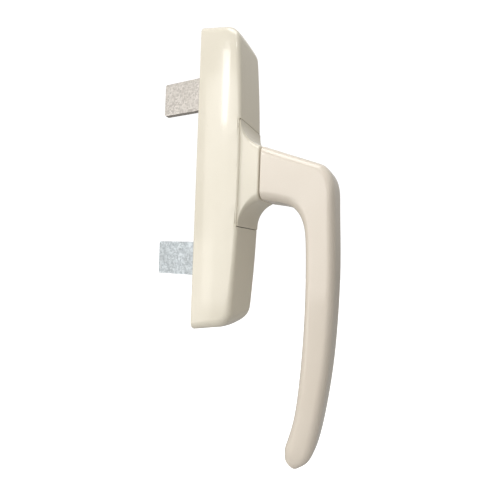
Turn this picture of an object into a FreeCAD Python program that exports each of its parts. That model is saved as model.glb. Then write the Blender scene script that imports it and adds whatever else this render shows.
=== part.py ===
import FreeCAD, Part
import math
import os

# Cremone handle for an aluminium window. Millimetres, +Z up.
# The origin is on the spindle's axis, in the plane of the back plate that lies on the sash.
# The room is towards -Y, the sash towards +Y. The lever hangs down, the closed position.

Vec = FreeCAD.Vector
along_x = Vec(1, 0, 0)
along_y = Vec(0, 1, 0)
overcut = 1.0  # tools run this far past the surface they cut

# casing, the outer shell
casing_height = 166.4
casing_width = 28.8
casing_middle = -0.6  # the casing's half height is this far above the spindle
casing_depth = 26.3  # at half its height
casing_shoulder_depth = 23.5  # where the crowned front meets the end rounding
casing_end_lean = 3.0  # how far each end leans in between back and front
casing_end_radius = 9.0  # front to end, seen from the side
casing_edge_radius = 1.4  # between sides and front, and between sides and ends
casing_side_flat = 11.0  # the sides are flat this far from the back, then curve in
casing_side_curve = 1.4  # how far the sides curve in at the front
casing_side_overrun = 3.0  # the sides' curve is drawn this far past the front
casing_wall = 1.6
casing_rim_overrun = 5.0  # the hollow is drawn this far past the open back

# neck, the part of the body that stands out through the casing's window
neck_height = 55.6  # where it meets the casing
neck_reach = 36.3  # from the wall to the face that the lever turns on
neck_end_width = 24.2
neck_end_height = 28.0
neck_flare_bow = 2.9  # how far the flare dips below the straight line between its ends
neck_seat_gap = 0.12  # between the neck's skirt and the casing's front
window_lip = 1.6  # the skirt covers this much of the casing beside the window
window_gap = 0.25  # around the neck where it passes through the window
neck_root = 2.0  # the neck runs this far into the block behind it

# lever
lever_gap = 0.5  # between neck and hub
hub_top_slope = 21.0  # degrees, the hub's top falls away from the neck
hub_top_length = 26.0  # straight part of the hub's top
hub_low_length = 8.5  # straight part of the hub's underside
hub_low_drop = 1.4
lever_length = 145.6  # from the spindle's axis down to the tip
lever_reach = 38.4  # from the hub's face to the grip's outermost side
spigot_radius = 7.0
running_clearance = 0.05  # radial, spigot in bush and pinion in divider
spigot_free_gap = 0.3  # radial, where nothing guides the spigot
spindle_side = 7.0
spindle_depth_in_lever = 14.0
square_clearance = 0.05
pin_radius = 1.5
pin_inset = 0.25  # the pin's ends stay below the spigot's surface
bush_wall = 1.5
bush_flange_width = 3.0
bush_flange_thickness = 1.4
bush_flange_recess = 1.0

# back plate and rack level
plate_thickness = 2.0
plate_edge_gap = 0.2  # between plate and casing
plate_corner_radius = 1.2
sliding_gap = 0.3  # between racks and what they slide along
rack_thickness = 4.2
gear_module = 1.0
pinion_root_wall = 0.9  # steel between the square hole's corners and the tooth roots
pressure_angle = math.radians(20)
gear_root_clearance = 0.25  # of a module
rack_addendum = 0.8  # of a module, short so that the small pinion isn't undercut
tooth_thinning = 0.06  # off each flank, for backlash
rack_back_width = 2.55  # steel behind the teeth
rack_run_out = 1.6  # modules of rack beyond the last tooth in mesh
rack_head_margin = 2.0  # from the head to the other rack's end at full travel
lever_turn = 90.0
pinion_boss_step = 0.35  # boss below the tooth roots

# drive tabs
tab_thickness = 3.0
tab_height = 19.4
tab_reach = 33.0  # out of the back
tab_corner = 0.7
tab_tenon_height = 12.0
upper_tab_height = 51.5  # of its middle above the spindle
lower_tab_height = -45.5
tab_slot_gap = 0.3
rack_end_margin = 1.8  # rack beyond its tab

# divider and detent level
divider_thickness = 1.2
divider_half_height = 27.0
disc_gap = 0.2
disc_thickness = 4.0
disc_radius = 8.6
ball_radius = 2.0
ball_running_gap = 0.05
click_depth = 0.8  # how far a ball drops into a notch
notch_clearance = 0.2
spring_wire = 0.5
spring_turns = 5
spring_length = 8.6
spring_radius = 1.55  # to the middle of the wire
ball_pocket_gap = 0.25

# retaining ring and spring washer
ring_thickness = 1.0
ring_outer_radius = 8.7
ring_groove_depth = 0.5
ring_gap_half_angle = 22.0
ring_play = 0.1
washer_thickness = 0.5
washer_rise = 0.4
shoulder_thickness = 3.0
spigot_tail = 0.6  # spigot beyond its groove
pocket_gap = 0.6  # around the disc

# body
body_side_gap = 0.3  # between body and casing
body_web = 2.7
body_end_inset = 2.2  # from the casing's inner end
end_corner_radius = 3.2
block_half_height = 31.0  # solid block behind the window
block_step = 16.0  # from the wall, where the block narrows to clear the casing's curved sides
block_front_gap = 0.4  # behind the casing's front

# fixing holes for M5 countersunk screws, and the small screws
fixing_inset = 11.2  # from the casing's end, as if the casing were centred on the spindle
fixing_hole_radius = 2.65
fixing_head_radius = 5.0
plate_screw_x = 8.0
plate_screw_inset = 5.2  # from the fixing hole, towards the middle
small_screw_radius = 1.5
small_screw_head_radius = 2.8
small_screw_length = 6.5
divider_screw_height = 24.6
divider_screw_x = 7.6
divider_screw_radius = 1.0
divider_screw_head_radius = 1.8
divider_screw_length = 5.0
socket_radius_share = 0.6  # of the screw's radius
socket_depth_share = 0.9  # of the head's height

# casing clips
clip_height = 8.0
clip_thickness = 0.7
clip_leg = 6.0
clip_place = 52.0
clip_play = 0.1
rib_depth = 0.7
rib_thickness = 1.2
rivet_radius = 1.5
rivet_head_radius = 2.8
rivet_head_height = 1.2

# worked out
half_width = casing_width / 2
half_height = casing_height / 2
square_hole_side = spindle_side + 2 * square_clearance
front_half_width = half_width - casing_side_curve
window_half_width = front_half_width - window_lip
neck_half_height = neck_height / 2
tooth_root_depth = gear_module * (rack_addendum + gear_root_clearance)
smallest_pitch_radius = square_hole_side / math.sqrt(2) + pinion_root_wall + tooth_root_depth
pinion_teeth = 2 * math.ceil(smallest_pitch_radius / gear_module)
pitch_radius = gear_module * pinion_teeth / 2
tip_radius = pitch_radius + gear_module * rack_addendum
root_radius = pitch_radius - tooth_root_depth
pinion_boss_radius = root_radius - pinion_boss_step
travel = pitch_radius * math.radians(lever_turn)
rack_tip_x = pitch_radius - gear_module * rack_addendum
rack_root_x = pitch_radius + tooth_root_depth
rack_outer_x = rack_root_x + rack_back_width
channel_half_width = rack_outer_x + sliding_gap
body_half_width = half_width - casing_wall - body_side_gap
block_half_width = window_half_width - window_gap
clip_half_width = half_width - casing_wall - rib_depth - clip_play
fixing_height = half_height - fixing_inset
plate_front = -plate_thickness
rack_back = plate_front - sliding_gap
rack_front = rack_back - rack_thickness
divider_back = rack_front - sliding_gap
divider_front = divider_back - divider_thickness
disc_back = divider_front - disc_gap
disc_front = disc_back - disc_thickness
ball_y = (disc_back + disc_front) / 2
pocket_radius = disc_radius + pocket_gap
spigot_end = disc_front - disc_gap
ring_back = spigot_end - spigot_tail
ring_front = ring_back - ring_thickness
washer_back = ring_front - ring_play
shoulder_back = washer_back - washer_thickness - washer_rise
shoulder_front = shoulder_back - shoulder_thickness
neck_face = -neck_reach
hub_face = neck_face - lever_gap
bush_radius = spigot_radius + running_clearance + bush_wall
pin_y = (neck_face + shoulder_front) / 2
web_front = divider_back - body_web
ball_centre = disc_radius + ball_radius + ball_running_gap
spring_start = ball_centre + ball_radius
spring_end = spring_start + spring_length


def crown_depth(z):
    # depth of the casing's front at a height, on the arc between the end roundings
    front_z = half_height - casing_end_lean - casing_end_radius
    rise = casing_depth - casing_shoulder_depth
    radius = (front_z ** 2 + rise ** 2) / (2 * rise)
    return casing_depth - radius + math.sqrt(radius ** 2 - (z - casing_middle) ** 2)


block_front = -crown_depth(block_half_height) + casing_wall + block_front_gap


def box(x0, x1, y0, y1, z0, z1):
    return Part.makeBox(x1 - x0, y1 - y0, z1 - z0, Vec(x0, y0, z0))


def rod(radius, y0, y1, x=0.0, z=0.0):
    # a round bar along Y
    return Part.makeCylinder(radius, y1 - y0, Vec(x, y0, z), along_y)


def prism(points, direction):
    return Part.Face(Part.makePolygon(points + [points[0]])).extrude(direction)


def edges_along(shape, axis, test):
    # straight edges that run along an axis and whose middle passes a test
    found = []
    for edge in shape.Edges:
        if not isinstance(edge.Curve, Part.Line):
            continue
        if abs(abs(edge.tangentAt(edge.FirstParameter).dot(axis)) - 1) > 1e-6:
            continue
        if test(edge.CenterOfMass):
            found.append(edge)
    return found


def save(shape, name):
    shape.exportStep(os.path.join("parts", name + ".step"))


def casing_form(inset):
    # the casing's outside, or the same form moved in (or out) and left open at the back
    depth = casing_depth - inset
    shoulder = casing_shoulder_depth - inset
    radius = casing_end_radius - inset
    rise = casing_end_lean / casing_shoulder_depth
    rim = 0.0 if inset == 0 else casing_rim_overrun
    end_z = half_height - inset - rise * shoulder
    rim_z = half_height - inset + rise * rim
    edges = []
    for sign in (1, -1):
        corner = Vec(0, -shoulder, sign * end_z)
        front = Vec(0, -shoulder, sign * (end_z - radius))
        end = Vec(0, -shoulder + radius, sign * (end_z + rise * radius))
        bow = corner + (front + end - corner * 2) * (1 - math.sqrt(0.5))
        edges.append(Part.makeLine(Vec(0, rim, sign * rim_z), end))
        edges.append(Part.Arc(end, bow, front).toShape())
    front_z = end_z - radius
    high = Vec(0, -shoulder, front_z)
    low = Vec(0, -shoulder, -front_z)
    edges.append(Part.Arc(high, Vec(0, -depth, 0), low).toShape())
    edges.append(Part.makeLine(Vec(0, rim, -rim_z), Vec(0, rim, rim_z)))
    side_view = Part.Wire(Part.__sortEdges__(edges))
    side_view.translate(Vec(-casing_width, 0, 0))
    form = Part.Face(side_view).extrude(Vec(2 * casing_width, 0, 0))
    form = form.common(casing_section(inset, rim).extrude(Vec(0, 0, 2 * casing_height)))
    form.translate(Vec(0, 0, casing_middle))
    if inset != 0:
        return form
    corners = []
    for edge in form.Edges:
        middle = edge.CenterOfMass
        on_side = abs(middle.x) > window_half_width
        on_flat_line = abs(middle.z - casing_middle) < 1e-3 and middle.y > -casing_side_flat - overcut
        if on_side and middle.y < -1e-3 and not on_flat_line:
            corners.append(edge)
    return form.makeFillet(casing_edge_radius, corners)


def casing_section(inset, rim):
    # the casing cut across at the neck: flat sides that curve in towards the front
    side = half_width - inset
    front = side - casing_side_curve
    reach = -casing_depth - casing_side_overrun
    start = -casing_side_flat
    run = start - reach
    radius = (run * run + casing_side_curve ** 2) / (2 * casing_side_curve)
    bow = radius - math.sqrt(radius ** 2 - (run / 2) ** 2)
    z = -casing_height
    half_way = (start + reach) / 2
    outline = Part.Wire([
        Part.makeLine(Vec(-side, rim, z), Vec(side, rim, z)),
        Part.makeLine(Vec(side, rim, z), Vec(side, start, z)),
        Part.Arc(Vec(side, start, z), Vec(side - bow, half_way, z), Vec(front, reach, z)).toShape(),
        Part.makeLine(Vec(front, reach, z), Vec(-front, reach, z)),
        Part.Arc(Vec(-front, reach, z), Vec(-side + bow, half_way, z), Vec(-side, start, z)).toShape(),
        Part.makeLine(Vec(-side, start, z), Vec(-side, rim, z)),
    ])
    return Part.Face(outline)


def make_casing():
    shell = casing_form(0.0).cut(casing_form(casing_wall))
    high = neck_half_height
    shell = shell.cut(box(
        -window_half_width, window_half_width, -casing_depth - overcut, -casing_depth / 2, -high, high))
    inner_x = half_width - casing_wall
    rib_y = web_front - clip_leg + clip_play
    for side in (-1, 1):
        for end in (-1, 1):
            middle = end * clip_place
            xs = sorted([side * (inner_x + casing_wall / 2), side * (inner_x - rib_depth)])
            shell = shell.fuse(box(
                xs[0], xs[1], rib_y, rib_y + rib_thickness, middle - clip_height, middle + clip_height))
    return shell


def flare(sign):
    # one bowed edge of the neck, from the casing to the lever
    base = Vec(0, -crown_depth(sign * neck_half_height), sign * neck_half_height)
    end = Vec(0, neck_face, sign * neck_end_height / 2)
    inward = Vec(0, -sign * (end.z - base.z), sign * (end.y - base.y))
    inward.normalize()
    bow = (base + end) * 0.5 + inward * neck_flare_bow
    return Part.Arc(base, bow, end).toShape()


def make_neck():
    top = flare(1)
    low = flare(-1)
    high = neck_half_height
    back_y = block_front + neck_root
    top_y = -crown_depth(high)
    low_y = -crown_depth(-high)
    end_z = neck_end_height / 2
    outline = Part.Wire([
        top,
        Part.makeLine(Vec(0, neck_face, end_z), Vec(0, neck_face, -end_z)),
        low,
        Part.makeLine(Vec(0, low_y, -high), Vec(0, back_y, -high)),
        Part.makeLine(Vec(0, back_y, -high), Vec(0, back_y, high)),
        Part.makeLine(Vec(0, back_y, high), Vec(0, top_y, high)),
    ])
    width = front_half_width
    outline.translate(Vec(-width, 0, 0))
    neck = Part.Face(outline).extrude(Vec(2 * width, 0, 0))
    end = neck_end_width / 2
    taper = prism([
        Vec(-width, back_y, -high), Vec(-width, top_y, -high), Vec(-end, neck_face, -high),
        Vec(end, neck_face, -high), Vec(width, top_y, -high), Vec(width, back_y, -high),
    ], Vec(0, 0, 2 * high))
    neck = neck.common(taper)
    core_high = high - window_gap
    core = neck.common(box(
        -block_half_width, block_half_width, neck_face - overcut, back_y + overcut, -core_high, core_high))
    skirt = neck.cut(casing_form(-neck_seat_gap))
    return core.fuse(skirt)


def make_body():
    inner_end = half_height - casing_wall - body_end_inset
    side = body_half_width
    beam = box(-side, side, web_front, plate_front, casing_middle - inner_end, casing_middle + inner_end)
    beam = beam.makeFillet(end_corner_radius, edges_along(beam, along_y, lambda m: True))
    high = block_half_height
    block = box(-side, side, -block_step, plate_front, -high, high)
    narrow = block_half_width
    block = block.fuse(box(-narrow, narrow, block_front, -block_step, -high, high))
    body = beam.fuse(block).fuse(make_neck())
    rack_top = upper_tab_height + tab_height / 2 + rack_end_margin
    rack_low = lower_tab_height - tab_height / 2 - rack_end_margin
    channel = channel_half_width
    body = body.cut(box(
        -channel, channel, divider_back, plate_front + overcut,
        rack_low - sliding_gap, rack_top + sliding_gap))
    body = body.cut(box(
        -channel, channel, divider_front, divider_back, -divider_half_height, divider_half_height))
    body = body.cut(rod(pocket_radius, shoulder_back, divider_front))
    half_ball = ball_radius + ball_pocket_gap
    body = body.cut(box(
        -half_ball, half_ball, ball_y - half_ball, divider_front, -spring_end, spring_end))
    free = spigot_radius + spigot_free_gap
    body = body.cut(rod(free, shoulder_front - overcut, shoulder_back + overcut))
    body = body.cut(rod(bush_radius, neck_face - overcut, shoulder_front))
    flange = bush_radius - bush_wall + bush_flange_width
    body = body.cut(rod(flange, neck_face - overcut, neck_face + bush_flange_recess))
    for z in (-fixing_height, fixing_height):
        body = body.cut(rod(fixing_hole_radius, web_front - overcut, overcut, 0, z))
        sink = fixing_head_radius - fixing_hole_radius
        place = Vec(0, web_front, z)
        body = body.cut(Part.makeCone(fixing_head_radius, fixing_hole_radius, sink, place, along_y))
    for x, z in plate_screw_places():
        tip = plate_front - small_screw_length
        body = body.cut(rod(small_screw_radius, tip, plate_front + overcut, x, z))
    for x, z in divider_screw_places():
        tip = divider_back - divider_screw_length
        body = body.cut(rod(divider_screw_radius, tip, divider_back, x, z))
    for z in (-clip_place, clip_place):
        body = body.cut(rod(rivet_radius, web_front - overcut, divider_back + overcut, 0, z))
    return body


def plate_screw_places():
    height = fixing_height - plate_screw_inset
    return [(x, z) for z in (-height, height) for x in (-plate_screw_x, plate_screw_x)]


def divider_screw_places():
    return [(divider_screw_x, -divider_screw_height), (-divider_screw_x, divider_screw_height)]


def countersunk_screw(radius, head_radius, length, x, back, z):
    # the head is flush with the plane y = back, with a hexagon socket, and the shank points to the room
    head = head_radius - radius
    shank = rod(radius, back - length, back - head, x, z)
    cone = Part.makeCone(radius, head_radius, head, Vec(x, back - head, z), along_y)
    wide = socket_radius_share * radius
    floor = back - socket_depth_share * head
    corners = []
    for k in range(6):
        turn = math.radians(60 * k)
        corners.append(Vec(x + wide * math.cos(turn), floor, z + wide * math.sin(turn)))
    socket = prism(corners, Vec(0, head, 0))
    return shank.fuse(cone).cut(socket)


def countersink(radius, head_radius, back, x, z):
    head = head_radius - radius
    return Part.makeCone(radius, head_radius, head, Vec(x, back - head, z), along_y)


def make_base_plate():
    edge = half_width - casing_wall - plate_edge_gap
    lean = casing_end_lean * plate_thickness / casing_shoulder_depth
    top = half_height - casing_wall - plate_edge_gap - lean
    plate = box(-edge, edge, plate_front, 0, casing_middle - top, casing_middle + top)
    plate = plate.makeFillet(plate_corner_radius, edges_along(plate, along_y, lambda m: True))
    half_slot = tab_thickness / 2 + tab_slot_gap
    reach = tab_height / 2 + tab_slot_gap
    slots = [
        (upper_tab_height - travel - reach, upper_tab_height + reach),
        (lower_tab_height - reach, lower_tab_height + travel + reach),
    ]
    for low, high in slots:
        plate = plate.cut(box(-half_slot, half_slot, plate_front - overcut, overcut, low, high))
    for z in (-fixing_height, fixing_height):
        plate = plate.cut(rod(fixing_hole_radius, plate_front - overcut, overcut, 0, z))
    for x, z in plate_screw_places():
        plate = plate.cut(rod(small_screw_radius, plate_front - overcut, overcut, x, z))
        plate = plate.cut(countersink(small_screw_radius, small_screw_head_radius, 0, x, z))
    return plate


def make_divider_plate():
    side = channel_half_width
    high = divider_half_height
    plate = box(-side, side, divider_front, divider_back, -high, high)
    bearing = pinion_boss_radius + running_clearance
    plate = plate.cut(rod(bearing, divider_front - overcut, divider_back + overcut))
    for x, z in divider_screw_places():
        hole = rod(divider_screw_radius, divider_front - overcut, divider_back + overcut, x, z)
        sink = countersink(divider_screw_radius, divider_screw_head_radius, divider_back, x, z)
        plate = plate.cut(hole).cut(sink)
    return plate


def make_plate_screws():
    screws = []
    for x, z in plate_screw_places():
        screws.append(countersunk_screw(
            small_screw_radius, small_screw_head_radius, small_screw_length, x, 0, z))
    return Part.makeCompound(screws)


def make_divider_screws():
    screws = []
    for x, z in divider_screw_places():
        screws.append(countersunk_screw(
            divider_screw_radius, divider_screw_head_radius, divider_screw_length, x, divider_back, z))
    return Part.makeCompound(screws)


def square_bar(side, y0, y1):
    return box(-side / 2, side / 2, y0, y1, -side / 2, side / 2)


def involute_flank():
    # points of one tooth flank, from the base circle out, with the tooth's middle on +X
    base = pitch_radius * math.cos(pressure_angle)
    thinning = tooth_thinning / math.cos(pressure_angle)
    half_tooth = (gear_module * math.pi / 4 - thinning) / pitch_radius
    roll_at_pitch = math.tan(pressure_angle) - pressure_angle
    points = []
    steps = 6
    top_roll = math.sqrt((tip_radius / base) ** 2 - 1)
    for k in range(steps + 1):
        roll = top_roll * k / steps
        radius = base * math.sqrt(1 + roll * roll)
        turn = half_tooth + roll_at_pitch - (roll - math.atan(roll))
        points.append((radius, turn))
    return points


def make_pinion():
    flank = involute_flank()
    points = []
    for tooth in range(pinion_teeth):
        middle = 2 * math.pi * tooth / pinion_teeth
        ring = [(root_radius, -flank[0][1])]
        ring += [(radius, -turn) for radius, turn in flank]
        ring += [(radius, turn) for radius, turn in reversed(flank)]
        ring += [(root_radius, flank[0][1])]
        for radius, turn in ring:
            angle = middle + turn
            points.append(Vec(radius * math.cos(angle), rack_front, radius * math.sin(angle)))
    gear = prism(points, Vec(0, rack_thickness, 0))
    boss = rod(pinion_boss_radius, divider_front, rack_front)
    return gear.fuse(boss).cut(square_bar(square_hole_side, divider_front - overcut, rack_back + overcut))


def rack_teeth(first, last):
    # tooth middles lie midway between the pinion's teeth, which meet the racks at z = 0
    slope = math.tan(pressure_angle)
    pitch = math.pi * gear_module
    half = pitch / 4 - tooth_thinning / math.cos(pressure_angle)
    points = [Vec(rack_outer_x, rack_front, first)]
    places = []
    place = pitch / 2
    while place > first:
        place -= pitch
    while place + pitch < last:
        place += pitch
        places.append(place)
    points.append(Vec(rack_root_x, rack_front, first))
    deep = half + (rack_root_x - pitch_radius) * slope
    shallow = half - (pitch_radius - rack_tip_x) * slope
    for place in places:
        if place - deep <= first or place + deep >= last:
            continue
        points.append(Vec(rack_root_x, rack_front, place - deep))
        points.append(Vec(rack_tip_x, rack_front, place - shallow))
        points.append(Vec(rack_tip_x, rack_front, place + shallow))
        points.append(Vec(rack_root_x, rack_front, place + deep))
    points.append(Vec(rack_root_x, rack_front, last))
    points.append(Vec(rack_outer_x, rack_front, last))
    return prism(points, Vec(0, rack_thickness, 0))


def make_rack(tab_middle):
    # drawn with its teeth on +X and its tab above, then turned over for the lower one
    height = abs(tab_middle)
    reach = tip_radius * math.sin(math.acos(rack_tip_x / tip_radius))
    start = -reach - gear_module * rack_run_out
    other_end = -start + 2 * travel
    head_low = other_end + rack_head_margin
    head_top = height + tab_height / 2 + rack_end_margin
    bar = rack_teeth(start, travel - start)
    arm = box(rack_root_x, rack_outer_x, rack_front, rack_back, 0, head_low + overcut)
    head = box(-rack_outer_x, rack_outer_x, rack_front, rack_back, head_low, head_top)
    rack = bar.fuse(arm).fuse(head)
    half_tenon = tab_tenon_height / 2
    rack = rack.cut(box(
        -tab_thickness / 2, tab_thickness / 2, rack_front - overcut, rack_back + overcut,
        height - half_tenon, height + half_tenon))
    if tab_middle < 0:
        rack.rotate(Vec(0, 0, 0), along_y, 180)
    return rack.removeSplitter()


def make_tab(middle):
    half = tab_thickness / 2
    tall = tab_height / 2
    corner = tab_corner
    points = [
        Vec(-half, rack_back, middle - tall), Vec(-half, tab_reach - corner, middle - tall),
        Vec(-half, tab_reach, middle - tall + corner), Vec(-half, tab_reach, middle + tall - corner),
        Vec(-half, tab_reach - corner, middle + tall), Vec(-half, rack_back, middle + tall),
    ]
    plate = prism(points, Vec(tab_thickness, 0, 0))
    half_tenon = tab_tenon_height / 2
    tenon = box(-half, half, rack_front, rack_back, middle - half_tenon, middle + half_tenon)
    return plate.fuse(tenon).removeSplitter()


def make_index_disc():
    disc = rod(disc_radius, disc_front, disc_back)
    notch_radius = ball_radius + notch_clearance
    notch_centre = ball_centre - click_depth
    for quarter in range(4):
        turn = math.radians(90 * quarter)
        x = notch_centre * math.sin(turn)
        z = notch_centre * math.cos(turn)
        disc = disc.cut(rod(notch_radius, disc_front - overcut, disc_back + overcut, x, z))
    return disc.cut(square_bar(square_hole_side, disc_front - overcut, disc_back + overcut))


def make_ball(side):
    return Part.makeSphere(ball_radius, Vec(0, ball_y, side * ball_centre))


def make_detent_spring(side):
    # a coil whose wire stays a little inside both ends
    wire = spring_wire / 2
    length = spring_length - 2 * spring_wire
    pitch = length / spring_turns
    helix = Part.makeLongHelix(pitch, length, spring_radius)
    ring = Part.Wire(Part.makeCircle(wire, Vec(spring_radius, 0, 0), along_y))
    coil = Part.Wire(helix).makePipeShell([ring], True, True)
    coil.translate(Vec(0, ball_y, spring_start + spring_wire))
    if side < 0:
        coil.rotate(Vec(0, 0, 0), along_y, 180)
    return coil


def make_spindle():
    end = rack_back - sliding_gap
    bar = square_bar(spindle_side, hub_face - spindle_depth_in_lever, end)
    return bar.cut(Part.makeCylinder(pin_radius, 2 * spindle_side, Vec(-spindle_side, pin_y, 0), along_x))


def make_spindle_pin():
    reach = spigot_radius - pin_inset
    return Part.makeCylinder(pin_radius, 2 * reach, Vec(-reach, pin_y, 0), along_x)


def make_bush():
    flange = bush_radius - bush_wall + bush_flange_width
    flange_back = neck_face + bush_flange_recess
    bush = rod(bush_radius, flange_back, shoulder_front)
    bush = bush.fuse(rod(flange, flange_back - bush_flange_thickness, flange_back))
    return bush.cut(rod(spigot_radius + running_clearance, neck_face - overcut, shoulder_front + overcut))


def make_retaining_ring():
    inner = spigot_radius - ring_groove_depth + running_clearance
    hole = rod(inner, ring_front - overcut, ring_back + overcut)
    ring = rod(ring_outer_radius, ring_front, ring_back).cut(hole)
    far = 2 * ring_outer_radius
    spread = far * math.tan(math.radians(ring_gap_half_angle))
    level = ring_front - overcut
    mouth = prism(
        [Vec(0, level, 0), Vec(-spread, level, -far), Vec(spread, level, -far)],
        Vec(0, ring_thickness + 2 * overcut, 0))
    return ring.cut(mouth)


def make_spring_washer():
    inner = spigot_radius + spigot_free_gap
    outer = ring_outer_radius
    points = [
        Vec(inner, washer_back - washer_thickness, 0), Vec(outer, shoulder_back, 0),
        Vec(outer, shoulder_back + washer_thickness, 0), Vec(inner, washer_back, 0),
    ]
    return Part.Face(Part.makePolygon(points + [points[0]])).revolve(Vec(0, 0, 0), along_y, 360)


def lever_section(inner, outer, width, radius):
    # a rounded rectangle across the lever, between its inner and outer sides
    middle = (inner + outer) * 0.5
    across = outer - inner
    half = across.Length / 2
    across.normalize()
    side = width / 2

    def at(x, up):
        return middle + along_x * x + across * up

    edges = []
    diagonal = radius * (1 - math.sqrt(0.5))
    corners = [(1, 1), (-1, 1), (-1, -1), (1, -1)]
    for k, (sx, sy) in enumerate(corners):
        next_x, next_y = corners[(k + 1) % 4]
        if k % 2 == 0:
            start, end = at(sx * side, sy * (half - radius)), at(sx * (side - radius), sy * half)
            follow = at(next_x * (side - radius), next_y * half)
        else:
            start, end = at(sx * (side - radius), sy * half), at(sx * side, sy * (half - radius))
            follow = at(next_x * side, next_y * (half - radius))
        bow = at(sx * (side - diagonal), sy * (half - diagonal))
        edges.append(Part.Arc(start, bow, end).toShape())
        edges.append(Part.makeLine(end, follow))
    return Part.Wire(edges)


def side_line(points):
    # one side of the lever seen from the side: straight along the hub, then one smooth curve to the tip
    points = [Vec(0, y, z) for y, z in points]
    hub_line = Part.makeLine(points[0], points[1])
    curve = Part.BSplineCurve()
    curve.interpolate(points[1:])
    return hub_line, curve.toShape()


def make_lever():
    high = neck_end_height / 2
    fall = math.tan(math.radians(hub_top_slope))
    # (share of lever_reach out from the hub, share of lever_length down from the spindle)
    outer_shares = (
        (0.859, -0.004), (0.953, 0.045), (0.973, 0.137), (1.0, 0.357), (0.966, 0.604), (0.889, 0.783),
        (0.802, 0.907), (0.719, 0.966), (0.570, 1.0),
    )
    inner_shares = (
        (0.430, 0.124), (0.570, 0.175), (0.618, 0.261), (0.626, 0.467), (0.590, 0.666), (0.529, 0.817),
        (0.452, 0.900), (0.406, 0.938), (0.404, 0.968),
    )
    outer_points = [(hub_face, high), (hub_face - hub_top_length, high - hub_top_length * fall)]
    inner_points = [(hub_face, -high), (hub_face - hub_low_length, -high - hub_low_drop)]
    for points, shares in ((outer_points, outer_shares), (inner_points, inner_shares)):
        for out, down in shares:
            points.append((hub_face - out * lever_reach, -down * lever_length))
    outer = side_line(outer_points)
    inner = side_line(inner_points)
    widths = (neck_end_width, 23.4, 22.6, 21.6, 21.0, 20.0, 15.2)  # hub to tip
    radii = (4.4, 4.8, 5.2, 5.2, 5.2, 5.2, 4.4)
    hub_sections = 4
    grip_sections = 18
    sections = []
    for part, count in ((0, hub_sections), (1, grip_sections)):
        inner_line = inner[part].discretize(Number=count + 1)
        outer_line = outer[part].discretize(Number=count + 1)
        first = 0 if part == 0 else 1
        for k in range(first, count + 1):
            place = k / count if part == 0 else 1 + (len(widths) - 2) * k / count
            low = min(int(place), len(widths) - 2)
            share = place - low
            width = widths[low] + (widths[low + 1] - widths[low]) * share
            radius = radii[low] + (radii[low + 1] - radii[low]) * share
            sections.append(lever_section(inner_line[k], outer_line[k], width, radius))
    grip = Part.makeLoft(sections, True, False)
    spigot = rod(spigot_radius, hub_face - overcut, spigot_end)
    groove = rod(spigot_radius + overcut, ring_front, ring_back).cut(
        rod(spigot_radius - ring_groove_depth, ring_front - overcut, ring_back + overcut))
    lever = grip.fuse(spigot).cut(groove)
    square = square_bar(square_hole_side, hub_face - spindle_depth_in_lever, spigot_end + overcut)
    pin_start = Vec(-2 * spigot_radius, pin_y, 0)
    pin_hole = Part.makeCylinder(pin_radius, 4 * spigot_radius, pin_start, along_x)
    return lever.cut(square).cut(pin_hole)


def make_clip(end):
    # a spring steel strip bent to a U, with legs that hook over the casing's ribs
    middle = end * clip_place
    half = clip_half_width
    base = web_front
    tip = base - clip_leg
    low = middle - clip_height / 2
    high = middle + clip_height / 2
    strip = box(-half, half, base - clip_thickness, base, low, high)
    for side in (-1, 1):
        outer = side * half
        inner = side * (half - clip_thickness)
        hook = side * (half + rib_depth - 2 * clip_play)
        points = [
            Vec(outer, base, low), Vec(outer, tip, low), Vec(hook, tip - clip_play, low),
            Vec(hook, tip - clip_thickness, low), Vec(inner, tip - clip_thickness, low),
            Vec(inner, base, low),
        ]
        strip = strip.fuse(prism(points, Vec(0, 0, clip_height)))
    return strip.cut(rod(rivet_radius, base - 2 * overcut, base + overcut, 0, middle)).removeSplitter()


def make_clip_rivets():
    rivets = []
    for z in (-clip_place, clip_place):
        head_back = web_front - clip_thickness
        shank = rod(rivet_radius, head_back, divider_back, 0, z)
        head = rod(rivet_head_radius, head_back - rivet_head_height, head_back, 0, z)
        rivets.append(shank.fuse(head))
    return Part.makeCompound(rivets)


os.makedirs("parts", exist_ok=True)
save(make_casing(), "casing")
save(make_body(), "mechanism_body")
save(make_base_plate(), "base_plate")
save(make_divider_plate(), "divider_plate")
save(make_plate_screws(), "plate_screws")
save(make_divider_screws(), "divider_screws")
save(make_lever(), "lever")
save(make_bush(), "lever_bush")
save(make_spindle(), "square_spindle")
save(make_spindle_pin(), "spindle_pin")
save(make_retaining_ring(), "retaining_ring")
save(make_spring_washer(), "spring_washer")
save(make_index_disc(), "index_disc")
save(make_pinion(), "pinion")
save(make_clip_rivets(), "clip_rivets")
for name, middle in (("upper", upper_tab_height), ("lower", lower_tab_height)):
    side = 1 if middle > 0 else -1
    save(make_rack(middle), name + "_rack")
    save(make_tab(middle), name + "_drive_tab")
    save(make_ball(side), name + "_detent_ball")
    save(make_detent_spring(side), name + "_detent_spring")
    save(make_clip(side), name + "_casing_clip")
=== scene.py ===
import bpy
import bmesh
import math
from mathutils import Matrix, Vector


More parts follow.
